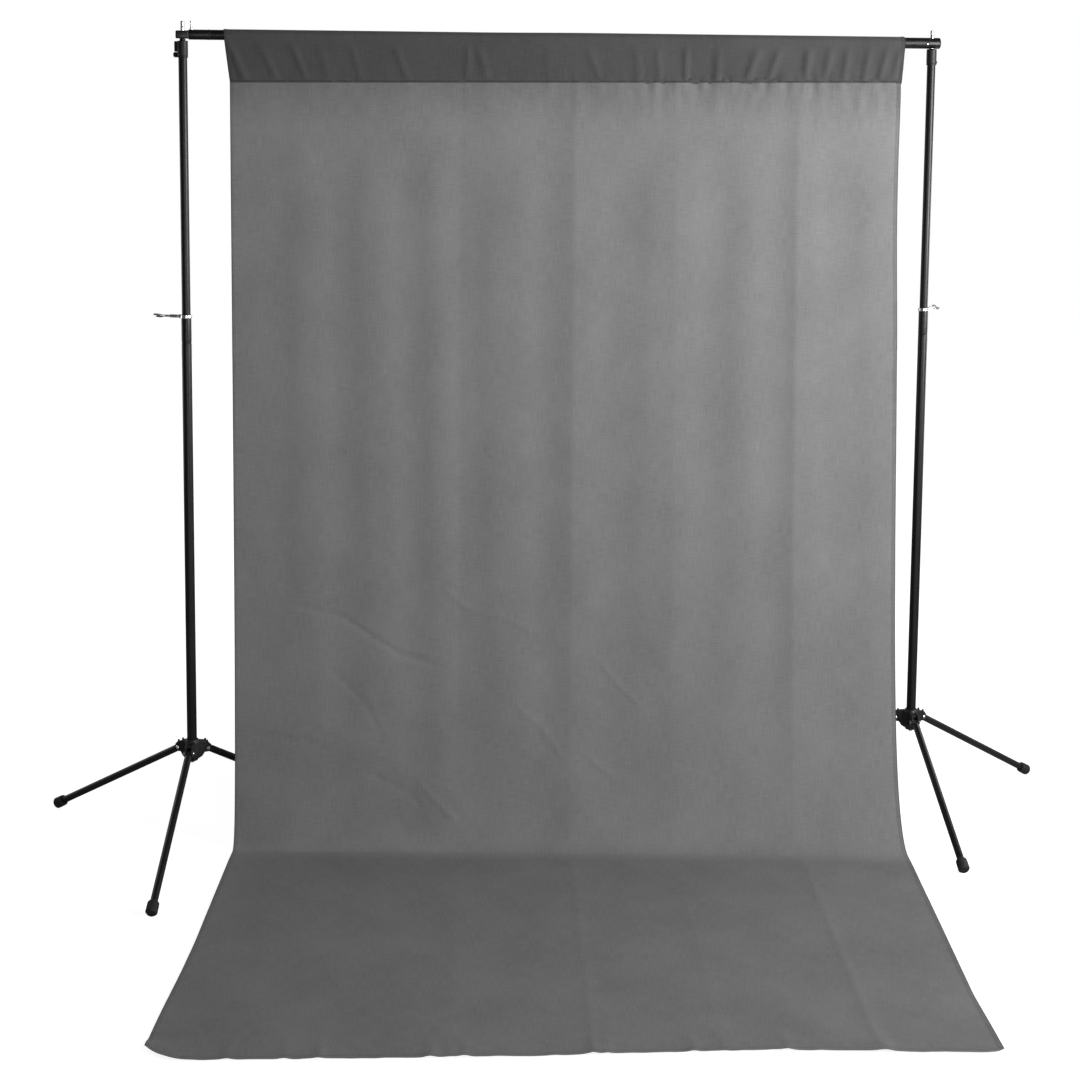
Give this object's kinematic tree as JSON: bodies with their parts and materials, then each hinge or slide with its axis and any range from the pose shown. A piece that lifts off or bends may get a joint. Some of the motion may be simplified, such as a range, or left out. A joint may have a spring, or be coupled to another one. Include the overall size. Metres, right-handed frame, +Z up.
{
  "type": "portable background support with cloth backdrop",
  "caption": "Folding tripod stands carry a telescopic crossbar; a cloth backdrop hangs from it by a sewn rod pocket and sweeps forward over the floor.",
  "frame": {"origin": "middle of the whole object's footprint, on the floor", "axes": "+X along the crossbar from the left stand to the right one, seen from the front; +Y away from the viewer, from the cloth's front to the back; +Z up"},
  "size_m": [2.4191, 1.5355, 1.852],
  "materials": {
    "black_paint": "satin",
    "black_plastic": "satin",
    "black_rubber": "matte",
    "chrome": "gloss",
    "grey_cloth": "matte"
  },
  "bodies": {
    "left_base": {"left_hub": "black_plastic", "left_column_screw": "chrome", "left_lower_tube": "black_paint", "left_ring_clamp": "chrome", "left_front_leg_bolt": "chrome", "left_outer_leg_bolt": "chrome", "left_inner_leg_bolt": "chrome", "backdrop_lower": "grey_cloth", "backdrop_sweep": "grey_cloth"},
    "left_front_leg": {"left_front_leg_tube": "black_paint", "left_front_leg_end": "black_plastic", "left_front_leg_foot": "black_rubber"},
    "left_outer_leg": {"left_outer_leg_tube": "black_paint", "left_outer_leg_end": "black_plastic", "left_outer_leg_foot": "black_rubber"},
    "left_inner_leg": {"left_inner_leg_tube": "black_paint", "left_inner_leg_end": "black_plastic", "left_inner_leg_foot": "black_rubber"},
    "left_wing_screw": {"left_wing_screw": "chrome"},
    "left_middle": {"left_middle_tube": "black_paint", "left_top_collar": "black_plastic"},
    "left_collar_knob": {"left_collar_knob": "black_plastic"},
    "head": {"left_top_rod": "black_paint", "left_stud": "chrome", "bar_end_piece": "black_paint", "left_bar_tube": "black_paint", "bar_joint_band": "black_plastic", "bar_keeper_screw": "chrome", "rod_pocket": "grey_cloth", "backdrop_upper": "grey_cloth"},
    "right_bar": {"right_bar_tube": "black_paint", "right_bar_cap": "black_plastic", "right_stud": "chrome", "right_top_rod": "black_paint"},
    "snap_button": {"snap_button": "chrome"},
    "right_base": {"right_hub": "black_plastic", "right_column_screw": "chrome", "right_lower_tube": "black_paint", "right_ring_clamp": "chrome", "right_front_leg_bolt": "chrome", "right_outer_leg_bolt": "chrome", "right_inner_leg_bolt": "chrome"},
    "right_front_leg": {"right_front_leg_tube": "black_paint", "right_front_leg_end": "black_plastic", "right_front_leg_foot": "black_rubber"},
    "right_outer_leg": {"right_outer_leg_tube": "black_paint", "right_outer_leg_end": "black_plastic", "right_outer_leg_foot": "black_rubber"},
    "right_inner_leg": {"right_inner_leg_tube": "black_paint", "right_inner_leg_end": "black_plastic", "right_inner_leg_foot": "black_rubber"},
    "right_wing_screw": {"right_wing_screw": "chrome"},
    "right_middle": {"right_middle_tube": "black_paint", "right_top_collar": "black_plastic"},
    "right_collar_knob": {"right_collar_knob": "black_plastic"}
  },
  "joints": [
    {"name": "left_middle_slide", "type": "slide", "parent": "left_base", "child": "left_middle", "axis": [0, 0, 1], "range_m": [-0.55, 0.24]},
    {"name": "head_slide", "type": "slide", "parent": "left_middle", "child": "head", "axis": [0, 0, 1], "range_m": [0, 0.55]},
    {"name": "bar_slide", "type": "slide", "parent": "head", "child": "right_bar", "axis": [1, 0, 0], "range_m": [-0.03, 0.33]},
    {"name": "right_middle_slide", "type": "slide", "parent": "right_bar", "child": "right_middle", "axis": [0, 0, 1], "range_m": [-0.55, 0]},
    {"name": "right_base_slide", "type": "slide", "parent": "right_middle", "child": "right_base", "axis": [0, 0, 1], "range_m": [-0.24, 0.55]},
    {"name": "snap_button_press", "type": "slide", "parent": "right_bar", "child": "snap_button", "axis": [0, 0.9781, 0.2079], "range_m": [0, 0.0028], "stiffness_N_per_m": 400},
    {"name": "left_front_leg_fold", "type": "hinge", "parent": "left_base", "child": "left_front_leg", "pos_m": [-0.88612, 0.44029, 0.2215], "axis": [0.9803, -0.1977, 0], "range_deg": [0, 62]},
    {"name": "left_outer_leg_fold", "type": "hinge", "parent": "left_base", "child": "left_outer_leg", "pos_m": [-0.90545, 0.49775, 0.2215], "axis": [-0.6613, -0.7501, 0], "range_deg": [0, 62]},
    {"name": "left_inner_leg_fold", "type": "hinge", "parent": "left_base", "child": "left_inner_leg", "pos_m": [-0.84603, 0.48576, 0.2215], "axis": [-0.319, 0.9478, 0], "range_deg": [0, 62]},
    {"name": "left_wing_screw_turn", "type": "hinge", "parent": "left_base", "child": "left_wing_screw", "pos_m": [-0.8792, 0.4746, 1.2075], "axis": [-0.9135, 0.4067, 0], "range_deg": [0, 720]},
    {"name": "left_collar_knob_turn", "type": "hinge", "parent": "left_middle", "child": "left_collar_knob", "pos_m": [-0.8792, 0.4746, 1.7795], "axis": [-0.9135, 0.4067, 0], "range_deg": [0, 720]},
    {"name": "right_front_leg_fold", "type": "hinge", "parent": "right_base", "child": "right_front_leg", "pos_m": [0.81915, 0.43964, 0.2215], "axis": [0.9989, -0.0471, 0], "range_deg": [0, 62]},
    {"name": "right_outer_leg_fold", "type": "hinge", "parent": "right_base", "child": "right_outer_leg", "pos_m": [0.8519, 0.49065, 0.2215], "axis": [-0.4586, 0.8886, 0], "range_deg": [0, 62]},
    {"name": "right_inner_leg_fold", "type": "hinge", "parent": "right_base", "child": "right_inner_leg", "pos_m": [0.79135, 0.49351, 0.2215], "axis": [-0.5402, -0.8415, 0], "range_deg": [0, 62]},
    {"name": "right_wing_screw_turn", "type": "hinge", "parent": "right_base", "child": "right_wing_screw", "pos_m": [0.8208, 0.4746, 1.2075], "axis": [0.7071, 0.7071, 0], "range_deg": [0, 720]},
    {"name": "right_collar_knob_turn", "type": "hinge", "parent": "right_middle", "child": "right_collar_knob", "pos_m": [0.8208, 0.4746, 1.7795], "axis": [0.7071, 0.7071, 0], "range_deg": [0, 720]}
  ],
  "couplings": [
    {"joint": "right_middle_slide", "follows": "head_slide", "ratio": -1},
    {"joint": "right_base_slide", "follows": "left_middle_slide", "ratio": -1}
  ]
}
